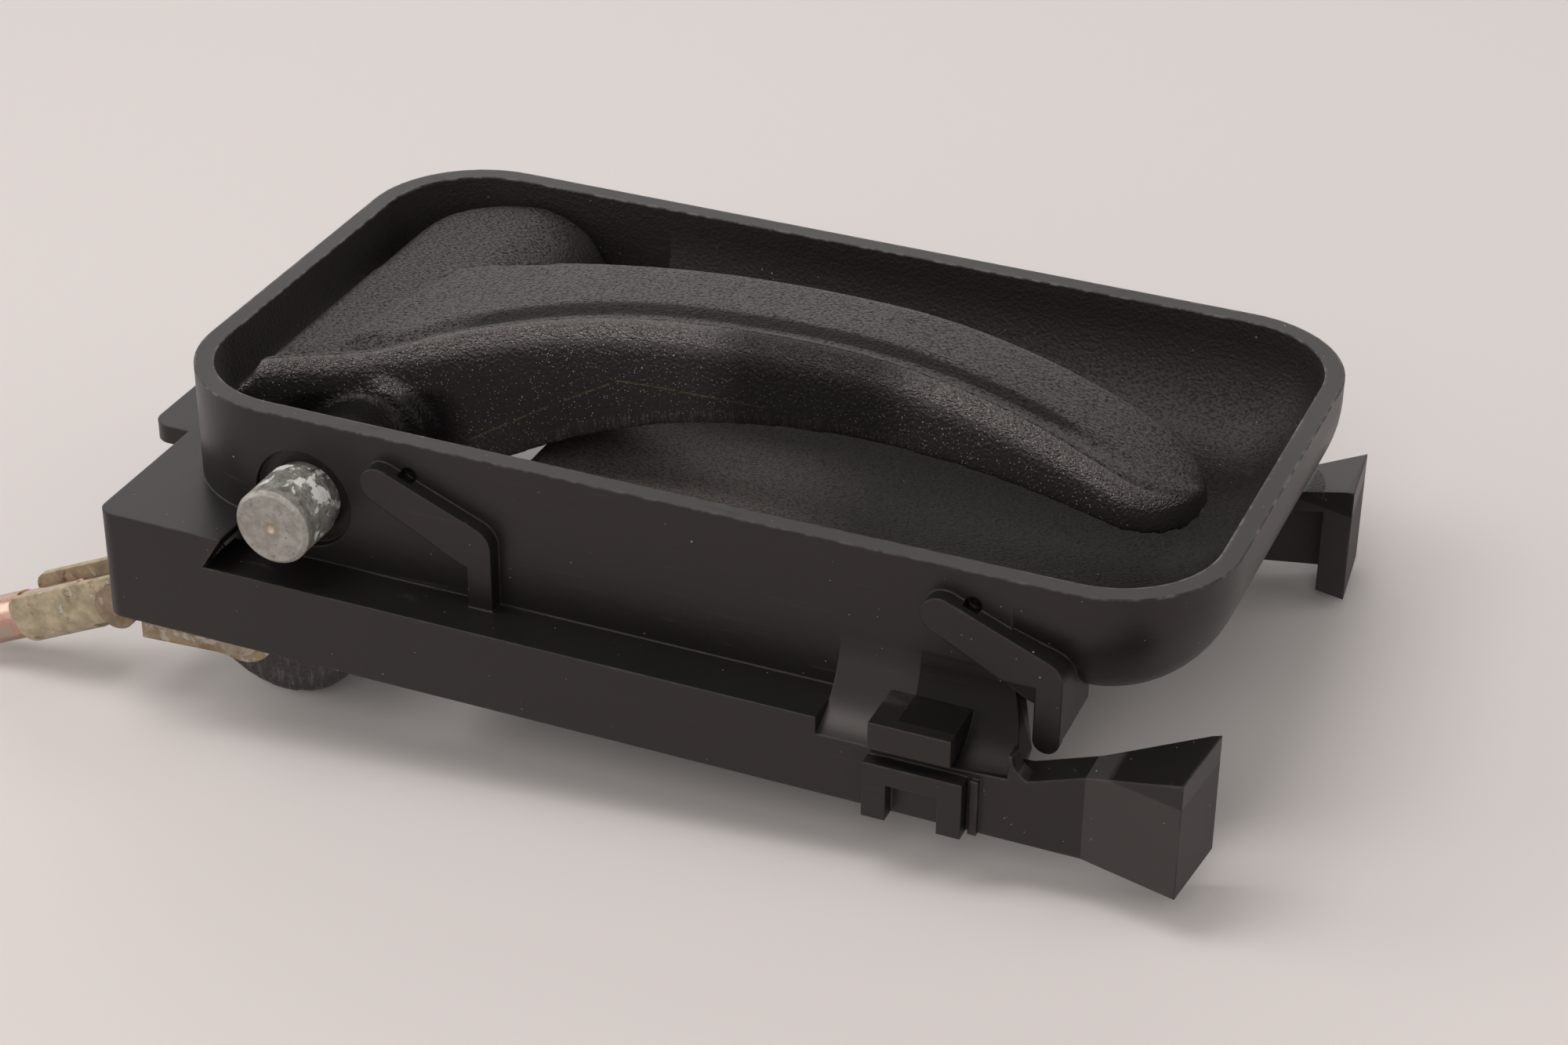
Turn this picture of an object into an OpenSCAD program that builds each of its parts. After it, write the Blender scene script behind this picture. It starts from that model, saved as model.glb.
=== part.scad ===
// Recessed pull handle for the inside of a car door, drawn on the bench as taken out of the door.
// Origin at the centre of the pivot pin's free end. +X runs from the pivot towards the grip's tip,
// +Y runs along the pivot axis into the part, +Z points out of the door towards the hand.

/* [Bowl] */
// Length of the bowl over its outer walls
bowl_l = 130; // [122:1:140]
// Width of the bowl over its outer walls
bowl_w = 71; // [66:0.5:78]
// Thickness of the bowl's walls and floor
bowl_wall = 2.4; // [1.8:0.1:3]
// Outer radius of the bowl's upright corners and of the sweep from its floor to its walls
corner_r = 15; // [11:0.5:17]
// Depth of the bowl from the rim to the underside of its floor
bowl_d = 18; // [15:0.5:18.5]
// Height of the rim above the pivot axis
rim_h = 10.7; // [9.5:0.1:13]
// Distance from the bowl's left end to the pivot axis
pivot_inset = 20.5; // [19:0.5:24]
// Distance from the bowl's left end to the edge where its floor begins
floor_inset = 37; // [35:0.5:44]

/* [Frame] */
// Distance from the frame's front plane back to the bowl's front wall
frame_step = 7; // [5.5:0.5:10]
// Width of the frame over its outer walls
frame_w = 71; // [66:0.5:76]
// Thickness of the frame's walls and shelves
frame_wall = 2.4; // [1.8:0.1:3]
// Depth of the frame's bottom edge below the pivot axis
frame_drop = 18.1; // [16:0.1:21]
// Depth of the block's top below the pivot axis
block_drop = 3.7; // [3:0.1:5]
// How far the block stands out past the bowl's left end
block_reach = 4; // [3:0.5:8]
// Radius of the block's upright corners
block_r = 2; // [1:0.5:4]
// Distance from the bowl's left end to the block's right end at its foot
block_l = 10.3; // [8:0.1:12]
// How far the block's right end leans over the ledge
block_lean = 2.8; // [0:0.1:4]
// Depth of the ledge below the pivot axis
ledge_drop = 8.1; // [7.4:0.1:9]
// Distance from the bowl's left end to the end of the ledge
ledge_end = 88.8; // [80:0.5:92]
// Depth of the foot of the ramp below the pivot axis
ramp_foot = 10.3; // [9.5:0.1:12]
// Depth of the head of the ramp below the pivot axis
ramp_head = 1.3; // [0.5:0.1:3]
// Distance from the bowl's left end to the open end of the front wall
wall_end = 110.3; // [108:0.1:113]
// How far the foot of that open end reaches past its head
wall_lean = 3; // [1:0.2:4]
// Number of stiffening ribs under the floor
rib_n = 3; // [1:1:4]
// Thickness of the stiffening ribs
rib_t = 2; // [1.5:0.1:2.5]
// Depth of the stiffening ribs below the floor
rib_h = 5.4; // [4:0.2:8]
// Radius in the corner between the front wall's open end and the leg
notch_r = 3; // [1:0.5:4]

/* [Legs] */
// Distance from the bowl's left end to the start of the wedge
wedge_start = 120.2; // [118:0.1:123]
// Distance from the bowl's left end to the wedge's outer corner
wedge_end = 131.8; // [129:0.1:136]
// How far the wedge spreads past the frame's side
wedge_spread = 3; // [1.5:0.1:4]
// Width of the leg's top flange at the frame
flange_w = 4.2; // [3.5:0.1:5]
// Width of the wedge's end face
wedge_w = 10.6; // [8:0.1:12]
// Thickness of the leg's web and flange
leg_t = 2.7; // [2:0.1:3.2]
// Thickness of the wedge's end plate
end_t = 3.2; // [2.4:0.1:4]
// Height of the wedge's end face
wedge_h = 14.8; // [12:0.1:16]
// Height of the leg where it leaves the frame
leg_h = 8.1; // [6:0.1:9]
// Height of the leg where the wedge starts
knee_h = 10.7; // [9:0.1:12]

/* [Hooks and lugs] */
// Distance from the bowl's left end to the first hook's round head
hook_x = 31.7; // [29:0.1:34]
// Distance between the two hooks
hook_pitch = 69.3; // [66:0.1:72]
// Width of the hook's rib
hook_w = 3.1; // [2.4:0.1:3.6]
// Radius of the hook's round head
hook_head_r = 2.2; // [1.7:0.1:2.6]
// How far the hooks stand out from the bowl's wall
hook_stand = 2; // [1.5:0.1:3]
// Distance from the hook's head across to its leg
hook_run = 12.95; // [11:0.05:14]
// Depth of the hook's round head below the rim
hook_drop = 5.3; // [4.5:0.1:6.5]
// Drop from the hook's head to its bend
hook_fall = 4.2; // [3:0.1:5]
// Outer radius of the hook's bend
hook_bend_r = 2.8; // [1.6:0.1:3.2]
// Depth of the free hook's end below the pivot axis
hook_end = 9.1; // [8:0.1:9.6]
// Depth of the web behind the free hook
hook_web = 8; // [6:0.1:9]
// Radius of the small pocket beside each hook's head
pocket_r = 1; // [0.6:0.1:1.4]
// Distance from the bowl's left end to the left side of the lugs
lug_x = 95.2; // [92:0.1:96]
// Length of the lugs along the frame
lug_l = 11.7; // [9:0.1:12.5]
// How far the lugs stand out from the frame's front plane
lug_stand = 2; // [1.2:0.1:2.5]
// Thickness of the lugs' bars
lug_t = 2.4; // [1.8:0.1:2.6]
// Length of the tongue on the block's left side
tongue_l = 5.5; // [4:0.1:7]
// Distance from the frame's front plane to the tongue
tongue_y = 21; // [17:0.5:24]
// Width of the tongue
tongue_w = 43; // [30:0.5:46]

/* [Pivot pin] */
// Radius of the pin's head, which is the stretch that shows outside
pin_head_r = 4.8; // [4.4:0.1:5.4]
// Width of the chamfer on the pin's free end, which lies in front of the origin
pin_edge = 0.5; // [0.3:0.1:0.8]
// Length of the pin's visible end
pin_head_l = 6.5; // [5:0.1:6.8]
// Radius of the pin where it sits in the front wall
pin_neck_r = 4.4; // [4.1:0.05:4.7]
// Radius of the pin's shank
pin_r = 4; // [3.5:0.05:4.2]
// Radius of the clearance recess round the pin's head
recess_r = 6.3; // [5.8:0.1:7]
// Depth of that recess
recess_d = 1.1; // [0.6:0.1:1.4]
// Length of the pin's tail behind the bowl
pin_tail = 3.4; // [3:0.1:5]
// Running clearance of the lever on the pin
pin_fit = 0.05; // [0.02:0.01:0.1]
// Thickness of the washer under the retaining clip
washer_t = 0.6; // [0.4:0.1:0.8]
// Outer radius of that washer
washer_r = 7.5; // [6.5:0.1:9]
// Thickness of the retaining clip
clip_t = 1; // [0.7:0.1:1.1]
// Outer radius of the retaining clip
clip_r = 6.6; // [6:0.1:8]

/* [Lever] */
// End play of the lever between the bowl's side walls, on each side
lever_play = 0.5; // [0.3:0.05:0.8]
// Radius of the hub round the pin
hub_r = 7.9; // [7.4:0.1:8.2]
// Radius of the hub's front end, below the grip's face
nose_r = 5.9; // [5.6:0.1:6.8]
// Thickness of the lever's skin
skin_t = 2.4; // [1.8:0.1:2.6]
// Distance from the pivot axis to the wing's left side
wing_reach = 14.6; // [12:0.1:15.2]
// Height of the wing's top above the pivot axis
wing_h = 8.5; // [8.2:0.1:9.5]
// Outer radius along the wing's left edge
wing_r = 3; // [2.6:0.1:4]
// Distance from the pivot axis to the grip's tip
grip_l = 99.2; // [92:0.2:100]
// Width of the grip
grip_w = 21; // [18:0.5:24]
// Distance from the frame's front plane to the grip's front face
grip_y = 32; // [28:0.5:36]
// Distance from the pivot axis to the crest of the grip
crest_x = 54; // [48:0.5:60]
// Height of the crest above the pivot axis
crest_h = 18.7; // [17:0.1:21]
// Radius of the arch on the pivot side of the crest
arch_near_r = 182; // [165:1:220]
// Radius of the arch on the tip side of the crest
arch_far_r = 79.5; // [74:0.5:95]
// Distance from the pivot axis to the crest of the grip's lower edge
under_x = 61; // [56:0.5:66]
// Height of that crest above the pivot axis
under_h = 8.4; // [7:0.1:9.5]
// Radius of the lower edge on the pivot side of its crest
under_near_r = 93; // [85:1:110]
// Radius of the lower edge on the tip side of its crest
under_far_r = 108; // [95:1:130]
// How much lower the grip's back edge lies than its front edge
grip_fall = 1.6; // [0.5:0.1:2.5]
// Radius along the grip's front and back edges
grip_edge_r = 3; // [2:0.1:3.6]
// Length of the round tip
tip_l = 9; // [6:0.2:12]
// How far the grip's front edge swings forward at the wing's left side
flare_w = 18; // [14:0.5:18]
// Distance from the pivot axis to where that swing starts
flare_x = 36; // [28:1:42]
// Radius of the wing's rear corner, seen from above
wing_back_r = 14; // [12:0.5:16]
// Depth of the apron below the pivot axis, in front of the hub
apron_drop = 2.2; // [0:0.1:3]
// Distance from the pivot axis to where the ridge widens into the grip
ridge_x = 6.5; // [5:0.1:8]
// Width of that ridge along the front edge
ridge_w = 5; // [3.5:0.1:6]
// Length over which it widens
root_run = 7; // [5:0.5:10]

/* [Lever arm] */
// Thickness of the arm below the hub
arm_t = 7.6; // [5:0.1:9]
// Radius of the lobe at the arm's foot
lobe_r = 11.6; // [10:0.1:12]
// How far the lobe's centre lies to the left of the pivot axis
lobe_x = 6.8; // [5:0.1:7.4]
// How far the lobe's centre lies below the pivot axis
lobe_z = 19.4; // [18:0.1:20]
// How far the strap's eye lies to the left of the pivot axis
eye_x = 10.9; // [9.5:0.1:11.5]
// How far the strap's eye lies below the pivot axis
eye_z = 21.4; // [20:0.1:22]

// Width of the rib that the arm rests against
stop_w = 3.4; // [2.4:0.1:3.6]
// Gap left between that rib and the arm's lobe
stop_gap = 0.3; // [0.1:0.05:0.6]

/* [Pull linkage] */
// Thickness of the strap
strap_t = 2; // [1.5:0.1:2.4]
// Radius of the strap's eye
eye_r = 4.8; // [4:0.1:5.2]
// Distance from the eye to the clevis rivet along the strap
strap_l = 15.2; // [15:0.1:18]
// Rise of the clevis rivet above the eye
strap_rise = 1.25; // [0:0.05:2]
// Radius of the strap's tongue inside the clevis
tongue_r = 3.3; // [2.8:0.1:3.6]
// How far the strap's heel hangs below its tongue
heel_h = 2.9; // [1:0.1:4]
// Radius of the rivet through the strap's eye
eye_rivet_r = 2; // [1.5:0.1:2.5]
// Radius of the rivet through the clevis
clevis_rivet_r = 1.8; // [1.4:0.1:2.2]
// Clearance of a rivet in the piece that turns on it
rivet_fit = 0.05; // [0.02:0.01:0.1]
// Height of the rivet heads
head_h = 1.1; // [0.8:0.1:1.6]
// Radius of the pull rod
rod_r = 3; // [2.5:0.1:3.4]
// Thickness of the clevis sheet
sheet_t = 0.9; // [0.7:0.05:1.2]
// How far the folded sheet is crimped into the rod
crimp = 0.2; // [0.1:0.05:0.3]
// Length of the clevis from its rivet to its far end
clevis_l = 17.5; // [15:0.5:22]
// Length of the open jaws, from the rivet to the folded part
jaw_l = 6.5; // [5.5:0.1:8]
// Length of the rod past the clevis
rod_l = 11; // [8:0.5:30]
// Slope of the rod at rest, in degrees
rod_slope = 25; // [15:1:28]

/* [Return spring] */
// Wire diameter of the return spring
wire_d = 1; // [0.8:0.05:1.1]
// Gap between the pin and the spring's coils
coil_gap = 0.4; // [0.3:0.05:0.5]
// Number of whole turns
turns = 8; // [5:1:10]
// Distance from the frame's front plane to the spring's first turn
spring_y = 33.5; // [32:0.5:34]
// Length of the coils along the pin
spring_l = 15; // [12:0.5:16]
// Length of the leg that presses on the lever's wing
lever_leg = 9; // [6:0.5:11]

/* [Hidden] */
$fn = 64;

// Overlap that fuses two shapes of one moulding
bite = 0.4;
// Length by which a cutting shape runs past what it cuts
over = 1;
// Gap between pieces that lie face to face but move
slip = 0.05;
black = [0.09, 0.09, 0.1];
zinc = [0.62, 0.61, 0.57];
brass_zinc = [0.72, 0.62, 0.38];

// Places along X
bowl_x0 = -pivot_inset;
bowl_x1 = bowl_x0 + bowl_l;
floor_x = bowl_x0 + floor_inset;
block_x0 = bowl_x0 - block_reach;
block_x1 = bowl_x0 + block_l;
ledge_x1 = bowl_x0 + ledge_end;
wall_x1 = bowl_x0 + wall_end;
wedge_x0 = bowl_x0 + wedge_start;
wedge_x1 = bowl_x0 + wedge_end;

// Places along Y
bowl_y0 = frame_step;
bowl_y1 = bowl_y0 + bowl_w;
lever_y0 = bowl_y0 + bowl_wall + lever_play;
lever_y1 = bowl_y1 - bowl_wall - lever_play;

// Places along Z
rim_z = rim_h;
under_z = rim_z - bowl_d;
floor_z = under_z + bowl_wall;
block_z = -block_drop;
ledge_z = -ledge_drop;
wall_foot = ledge_z - frame_wall;
frame_z = -frame_drop;

// A band between two circles, exact at both ends
module belt(a, ra, b, rb) {
    d = b - a;
    lean = atan2(d[1], d[0]);
    open = acos((ra - rb) / norm(d));
    p = [cos(lean + open), sin(lean + open)];
    q = [cos(lean - open), sin(lean - open)];
    polygon([a + ra * p, b + rb * p, b + rb * q, a + ra * q]);
    translate(a) circle(ra);
    translate(b) circle(rb);
}

// Draws a flat shape of the XZ plane as a plate that starts at y and is t thick
module upright(y, t) {
    translate([0, y + t, 0]) rotate([90, 0, 0]) linear_extrude(t) children();
}

// Draws a flat shape of the YZ plane as a bar that starts at x and is l long
module lengthwise(x, l) {
    translate([x, 0, 0]) rotate([90, 0, 90]) linear_extrude(l) children();
}

// A round bar along Y
module crossbar(x, z, y, l, r) {
    translate([x, y + l, z]) rotate([90, 0, 0]) cylinder(h = l, r = r);
}

// The bowl's outline from above, drawn inset by a wall
module bowl_plan(inset) {
    r = corner_r - inset;
    for (x = [bowl_x0 + corner_r, bowl_x1 - corner_r], y = [bowl_y0 + corner_r, bowl_y1 - corner_r])
        translate([x, y]) circle(r);
    translate([bowl_x0 + inset, bowl_y0 + corner_r])
        square([bowl_l - 2 * inset, bowl_w - 2 * corner_r]);
    translate([bowl_x0 + corner_r, bowl_y0 + inset])
        square([bowl_l - 2 * corner_r, bowl_w - 2 * inset]);
}

// The bowl's body with its floor swept up into three walls; the fourth end is left open
module tub(inset, x0, top) {
    r = corner_r - inset;
    x1 = bowl_x1 - corner_r;
    z = under_z + corner_r;
    intersection() {
        translate([x0 - over, bowl_y0 - over, z - corner_r - over])
            cube([bowl_x1 - x0 + 2 * over, bowl_w + 2 * over, corner_r + over + bite]);
        union() {
            for (y = [bowl_y0 + corner_r, bowl_y1 - corner_r]) {
                translate([x1, y, z]) sphere(r);
                translate([x0, y, z]) rotate([0, 90, 0]) cylinder(h = x1 - x0, r = r);
            }
            crossbar(x1, z, bowl_y0 + corner_r, bowl_w - 2 * corner_r, r);
            translate([x0, bowl_y0 + corner_r, z - r])
                cube([x1 - x0, bowl_w - 2 * corner_r, 2 * r]);
        }
    }
    intersection() {
        translate([0, 0, z]) linear_extrude(top - z) bowl_plan(inset);
        translate([x0, bowl_y0 - over, z]) cube([bowl_x1 - x0 + over, bowl_w + 2 * over, top - z]);
    }
}

module bowl_space() {
    tub(bowl_wall, floor_x - over, rim_z + over);
}

// The open well under the hub, where the lever's arm passes through
module well_space() {
    intersection() {
        translate([0, 0, frame_z - over]) linear_extrude(rim_z - frame_z + 2 * over)
            bowl_plan(bowl_wall);
        translate([bowl_x0, bowl_y0, frame_z - over])
            cube([floor_x - bowl_x0, bowl_w, rim_z - frame_z + 2 * over]);
    }
}

module bowl_outside() {
    tub(0, bowl_x0 + corner_r, rim_z);
    // Straight skirt round the left end and under the long walls, down to the shelves
    intersection() {
        translate([0, 0, wall_foot]) linear_extrude(rim_z - wall_foot) bowl_plan(0);
        translate([bowl_x0, bowl_y0, wall_foot])
            cube([ledge_x1 - bowl_x0, bowl_w, rim_z - wall_foot]);
    }
    // Flat front wall above the ramp
    translate([ledge_x1 - bite, bowl_y0, -ramp_head - bite])
        cube([wall_x1 - wall_lean / 2 - ledge_x1 + bite, bowl_wall, rim_z + ramp_head]);
}

// The hollow under the tub, between the skirts
module underfloor_space() {
    difference() {
        translate([floor_x, bowl_y0 + bowl_wall, wall_foot - over])
            cube([ledge_x1 - floor_x + over, bowl_w - 2 * bowl_wall, corner_r]);
        tub(0, floor_x - over, rim_z);
    }
}

module front_outline() {
    polygon([[block_x0 + block_r, frame_z], [block_x0 + block_r, block_z],
             [block_x1 + block_lean, block_z], [block_x1, ledge_z], [ledge_x1, ledge_z],
             [ledge_x1, -ramp_foot], [wall_x1, -ramp_foot], [wall_x1, frame_z]]);
}

// Plan of the block with its rounded left corners
module block_plan() {
    translate([block_x0 + block_r, 0]) square([block_x1 + block_lean - block_x0 - block_r, frame_w]);
    translate([block_x0, block_r]) square([block_r, frame_w - 2 * block_r]);
    for (y = [block_r, frame_w - block_r]) translate([block_x0 + block_r, y]) circle(block_r);
}

module block() {
    difference() {
        translate([0, 0, frame_z]) linear_extrude(block_z - frame_z) block_plan();
        translate([block_x0 + frame_wall, frame_wall, frame_z - over])
            cube([block_x1 + block_lean - block_x0, frame_w - 2 * frame_wall,
                  block_z - frame_wall - frame_z + over]);
        // Leaning right end, in front of the pin and behind it
        for (y = [-over, bowl_y1 - frame_wall])
            upright(y, frame_step + over)
                polygon([[block_x1 + block_lean + over, block_z + over],
                         [block_x1 + block_lean, block_z], [block_x1, ledge_z],
                         [block_x1, frame_z - over], [block_x1 + block_lean + over, frame_z - over]]);
    }
}

// One side of the frame: wall, ledge and the ramp up to the bowl
module side_frame() {
    upright(0, frame_wall) front_outline();
    translate([block_x1, 0, wall_foot]) cube([ledge_x1 - block_x1, frame_step + bite, frame_wall]);
    difference() {
        lengthwise(ledge_x1 - frame_wall, wall_x1 + wall_lean - ledge_x1 + frame_wall)
            ramp_end();
        translate([ledge_x1 - frame_wall - over, -over, ledge_z])
            cube([frame_wall + over, frame_step + over, -ramp_head - ledge_z + over]);
        // Leaning open end of the wall
        upright(-over, frame_step + bowl_wall + 2 * over)
            polygon([[wall_x1 - wall_lean / 2, -ramp_head + over], [wall_x1 + wall_lean / 2, -ramp_foot],
                     [wall_x1 + wall_lean / 2, frame_z], [wall_x1 + 2 * wall_lean, frame_z],
                     [wall_x1 + 2 * wall_lean, -ramp_head + over]]);
    }
}

// End view of the ramp, hollowed by an arc
module ramp_end() {
    foot = [0, -ramp_foot];
    head = [frame_step, -ramp_head];
    rise = ramp_foot - ramp_head;
    r = (frame_step * frame_step + rise * rise) / (2 * frame_step);
    difference() {
        polygon([foot, head, head + [bowl_wall, 0], head + [bowl_wall, -bowl_wall],
                 [frame_step, wall_foot], [frame_wall, wall_foot - frame_wall], [0, wall_foot - frame_wall]]);
        translate(head - [r, 0]) circle(r);
    }
}

// Top view of a leg, from the frame's end wall to the wedge's end face
module leg_plan() {
    lean = wedge_spread * wedge_w / (wedge_x1 - wedge_x0 + wedge_spread) / 2;
    polygon([[ledge_x1, 0], [wedge_x0, 0], [wedge_x1, -wedge_spread],
             [wedge_x1 + lean, wedge_w - wedge_spread], [wedge_x0 + lean / 2, flange_w + bite],
             [ledge_x1, flange_w]]);
}

module leg_side() {
    polygon([[ledge_x1, frame_z], [ledge_x1, frame_z + leg_h - over], [wall_x1 + leg_t, frame_z + leg_h],
             [wedge_x0, frame_z + knee_h], [wedge_x1, frame_z + wedge_h],
             [wedge_x1 + 2 * leg_t, frame_z + wedge_h + over], [wedge_x1 + 2 * leg_t, frame_z]]);
}

// The hollow inside a leg, behind its web, under its flange and before its end plate
module leg_hollow() {
    intersection() {
        translate([0, 0, frame_z - over]) linear_extrude(wedge_h + 2 * over)
            polygon([[ledge_x1 - over, leg_t], [wedge_x0, leg_t],
                     [wedge_x1 - end_t, leg_t - wedge_spread * 0.7],
                     [wedge_x1 - end_t + over, wedge_w + over], [ledge_x1 - over, wedge_w + over]]);
        translate([0, 0, -leg_t]) upright(-wedge_spread - over, wedge_w + wedge_spread + 3 * over)
            leg_side();
    }
}

module leg() {
    difference() {
        intersection() {
            translate([0, 0, frame_z - over]) linear_extrude(wedge_h + 3 * over) leg_plan();
            upright(-wedge_spread - over, wedge_w + wedge_spread + 3 * over) leg_side();
        }
        leg_hollow();
    }
    // Round corner where the leg leaves the wall
    translate([wall_x1 + wall_lean / 2 - bite, 0, frame_z + leg_h - bite]) upright(0, frame_wall)
        difference() {
            square(notch_r + bite);
            translate([notch_r + bite, notch_r + bite]) circle(notch_r);
        }
}

module hook(x, end_z) {
    head = [x, rim_z - hook_drop];
    leg_x = x + hook_run + hook_w / 2;
    bend = [leg_x - hook_bend_r, rim_z - hook_drop - hook_fall + hook_w / 2 - hook_bend_r];
    upright(bowl_y0 - hook_stand, hook_stand + bowl_wall) {
        belt(head, hook_head_r, bend, hook_bend_r);
        translate([leg_x - hook_w, end_z]) square([hook_w, bend[1] - end_z]);
    }
}

// The web that carries the free hook under the bowl's corner
module hook_rib() {
    x = bowl_x0 + hook_x + hook_pitch + hook_run - hook_w / 2;
    lengthwise(x, hook_w)
        polygon([[bowl_y0 - hook_stand, 0], [bowl_y0 + hook_web, 0], [bowl_y0 + hook_web, under_z],
                 [bowl_y0 - hook_stand + bite * 3, -hook_end + hook_w / 2],
                 [bowl_y0 - hook_stand, -hook_end + hook_w / 2]]);
    upright(bowl_y0 - hook_stand, bite * 3)
        translate([x + hook_w / 2, -hook_end + hook_w / 2]) circle(hook_w / 2);
}

module lugs() {
    x = bowl_x0 + lug_x;
    top = -ramp_foot - 0.7;
    // Upper shelf across the foot of the ramp
    translate([x + bite, -lug_stand * 0.8, -ramp_foot + over])
        cube([lug_l - lug_stand, frame_step, lug_t + over]);
    // Lower lug with two legs
    upright(-lug_stand, lug_stand + bite) {
        translate([x, top - lug_t]) square([lug_l, lug_t]);
        for (side = [0, lug_l - lug_t - bite])
            translate([x + side, frame_z]) square([lug_t + bite, top - frame_z]);
    }
    // Upright bead beside the lugs
    translate([x + lug_l + bite, -lug_stand / 3, frame_z])
        cube([over, lug_stand, top - frame_z]);
}

module tongue() {
    r = frame_wall;
    translate([0, 0, block_z - frame_wall]) linear_extrude(frame_wall) {
        translate([block_x0 - tongue_l + r, tongue_y]) square([tongue_l - r + bite, tongue_w]);
        translate([block_x0 - tongue_l, tongue_y + r]) square([r, tongue_w - 2 * r]);
        for (y = [tongue_y + r, tongue_y + tongue_w - r])
            translate([block_x0 - tongue_l + r, y]) circle(r);
    }
}

// Ribs between the frame's long walls, under the floor
module floor_ribs() {
    span = ledge_x1 - floor_x - rib_t;
    for (i = [0 : rib_n - 1])
        translate([floor_x + span * i / max(rib_n - 1, 1), 0, under_z - rib_h]) {
            translate([0, frame_wall - bite, 0])
                cube([rib_t, frame_w - 2 * frame_wall + 2 * bite, ledge_z - under_z + rib_h]);
            translate([0, bowl_y0 + bite, 0]) cube([rib_t, frame_w - bowl_y0 - bite, rib_h + bite]);
        }
}

// The rib that the arm rests against when the handle is closed
module arm_stop() {
    x = block_x0 + frame_wall - bite;
    translate([x, lever_y0 + slip + arm_t - stop_w, frame_z])
        cube([-lobe_x - lobe_r - stop_gap - x, stop_w, block_z - frame_wall + bite - frame_z]);
}

// The rear wall of the frame with the shelf that closes it to the bowl
module rear_frame() {
    translate([block_x1, frame_w - frame_wall, frame_z])
        cube([wall_x1 - block_x1, frame_wall, under_z - frame_z + bite]);
    translate([block_x0 + block_r, frame_w - frame_wall, wall_foot])
        cube([ledge_x1 - block_x0 - block_r, bowl_y1 - frame_w + frame_wall, frame_wall]);
}

// Everything that is cut through the finished walls
module housing_cuts() {
    crossbar(0, 0, bowl_y0 - over, bowl_wall + 2 * over, pin_neck_r);
    crossbar(0, 0, -over, bowl_y0 + recess_d + over, recess_r);
    crossbar(0, 0, bowl_y1 - bowl_wall - over, bowl_wall + 2 * over, pin_r);
    // Slot in the block's left wall for the clevis and the rod
    translate([block_x0 - over, clevis_y - clevis_half - over * 1.5, frame_z - over])
        cube([frame_wall + 2 * over, 2 * clevis_half + over * 3, frame_z * -1 - block_drop - 2 * frame_wall]);
    // Small pocket above each hook's head
    for (x = [hook_x, hook_x + hook_pitch])
        crossbar(bowl_x0 + x + hook_head_r + pocket_r, rim_z - hook_drop + hook_head_r / 2,
                 bowl_y0 - over, over + bowl_wall / 2, pocket_r);
}

// The moulding's outside, before its hollows are taken out
module housing_outside() {
    bowl_outside();
    block();
    side_frame();
    rear_frame();
    leg();
    translate([0, frame_w, 0]) mirror([0, 1, 0]) leg();
    hook(bowl_x0 + hook_x, ledge_z - bite);
    hook(bowl_x0 + hook_x + hook_pitch, -hook_end + hook_w / 2);
    hook_rib();
    lugs();
    tongue();
}

module housing() {
    color(black)
        difference() {
            union() {
                difference() {
                    housing_outside();
                    bowl_space();
                    well_space();
                    underfloor_space();
                }
                floor_ribs();
                arm_stop();
            }
            housing_cuts();
        }
}

// Where the grip's walls leave the hub
root_x = hub_r - 1.5 * over;

// Height of the arch's top at x
function arch_z(x) = crest_h - pow(max(x, -over) - crest_x, 2) / (2 * (x < crest_x ? arch_near_r : arch_far_r));
// Share of the round tip at x, 0 before it starts and 1 at its end
function tip_at(x) = max(0, (x - grip_l + tip_l) / tip_l);
// How far the front edge swings forward towards the hub
function flare_at(x) = flare_w * pow(max(0, flare_x - x) / (flare_x + wing_reach), 2);
function tip_mid() = grip_y + grip_w * 0.55;
function front_y(x) = tip_mid() - (tip_mid() - grip_y) * sqrt(1 - pow(tip_at(x), 2)) - flare_at(x);
// Share of the grip's full width at x, where it grows out of the ridge over the hub
function root_at(x) = 1 - pow(1 - max(0, min(1, (x + ridge_x) / root_run)), 2);
function back_y(x) = tip_mid() + (grip_y + grip_w - tip_mid()) * sqrt(1 - pow(tip_at(x), 2))
    - (1 - root_at(x)) * (grip_y + grip_w - front_y(x) - ridge_w);
// Height of the lower edge at x; over the hub the grip only thickens the wing
function low_z(x) = x < root_x ? wing_h - skin_t / 2 : under_h - pow(x - under_x, 2) / (2 * (x < under_x ? under_near_r : under_far_r));

// Steps in each of a section's two rounded corners
arc_n = 6;

// One section of the grip, an upside-down trough drawn from its front foot round to its inside
function grip_ring(x) =
    let (y0 = front_y(x), y1 = back_y(x), top = arch_z(x), low = low_z(x),
         fall = grip_fall * max(0, min(1, x / crest_x)),
         r = min(grip_edge_r, (y1 - y0) / 2.2, (top - low) * 0.6),
         t = min(skin_t, (y1 - y0) / 4),
         roof = (x < root_x || x > grip_l - skin_t) ? low + bite : max(low + bite, top - fall - skin_t))
    concat([[x, y0, low]],
           [for (i = [0 : arc_n]) let (a = 90 * i / arc_n) [x, y0 + r * (1 - cos(a)), top - r + r * sin(a)]],
           [for (i = [arc_n : -1 : 0]) let (a = 90 * i / arc_n)
               [x, y1 - r * (1 - cos(a)), top - fall - r + r * sin(a)]],
           [[x, y1, low], [x, y1 - t, low], [x, y1 - t, roof], [x, y0 + t, roof], [x, y0 + t, low]]);

// The triangles that close a section at either end of the grip
function grip_cap() =
    let (shoulder = 2 * (arc_n + 1), back = shoulder + 3)
    concat([for (j = [0 : arc_n + 1]) [back + 1, j, j + 1]], [[back + 1, arc_n + 2, back]],
           [for (j = [arc_n + 2 : shoulder + 1]) [back, j, j + 1]],
           [[back + 1, back + 2, 0]]);

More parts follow.
